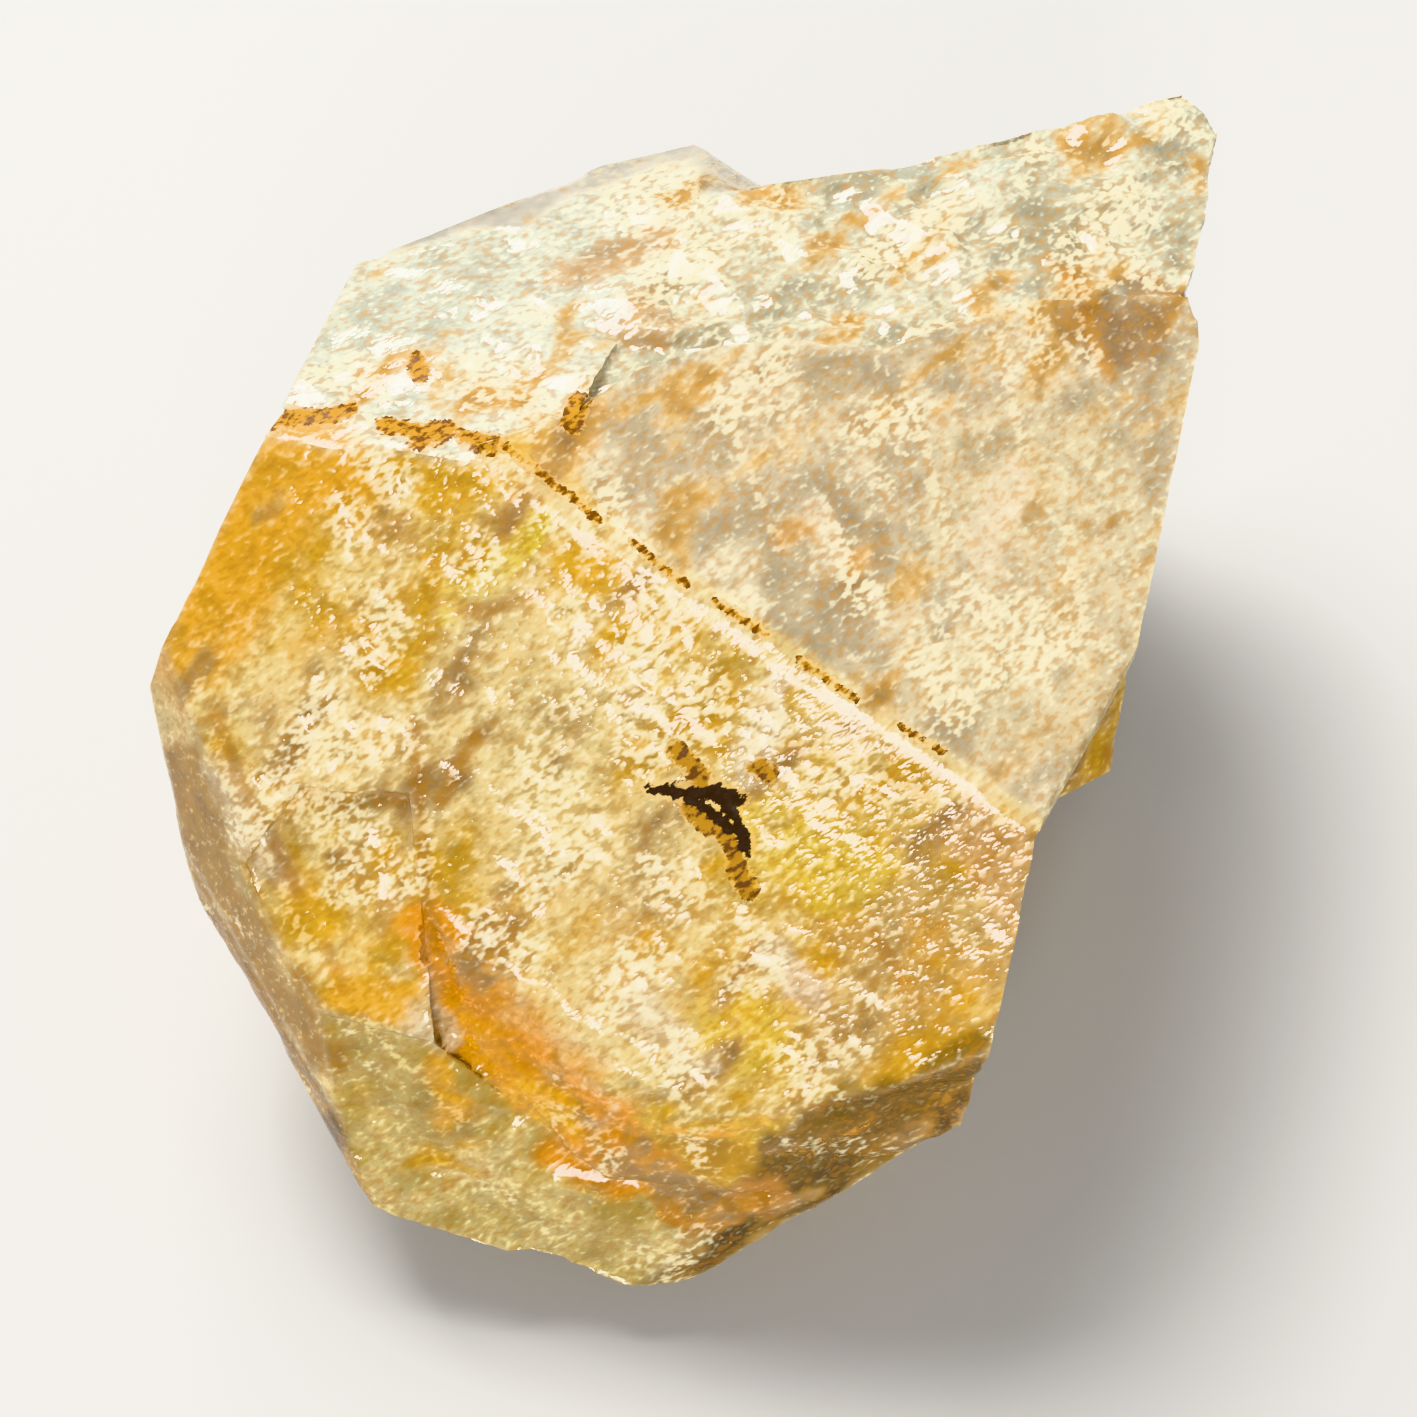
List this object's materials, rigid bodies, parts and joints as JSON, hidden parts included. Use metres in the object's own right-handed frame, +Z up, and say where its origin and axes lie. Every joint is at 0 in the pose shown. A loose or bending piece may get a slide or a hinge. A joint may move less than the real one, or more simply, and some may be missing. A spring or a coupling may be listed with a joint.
{
  "type": "herkimer quartz crystal",
  "caption": "Chunk of golden Herkimer-type quartz with flat growth faces, a long ridge, a broken white top and a smaller crystal grown on behind; a display or craft stone.",
  "frame": {"origin": "centre of the bounding box at its underside, on the ground the crystal rests on", "axes": "+Z up, square to the base facet; -Y towards the lower, golden end of the crystal; +X to the right of a viewer who stands at -Y"},
  "size_m": [0.066, 0.0696, 0.0477],
  "materials": {
    "quartz": "clear to cloudy golden quartz, glossy growth faces, fibrous white fracture on top, orange and dark brown iron stain inside"
  },
  "bodies": {
    "root": {"quartz_crystal": "quartz"}
  },
  "joints": []
}
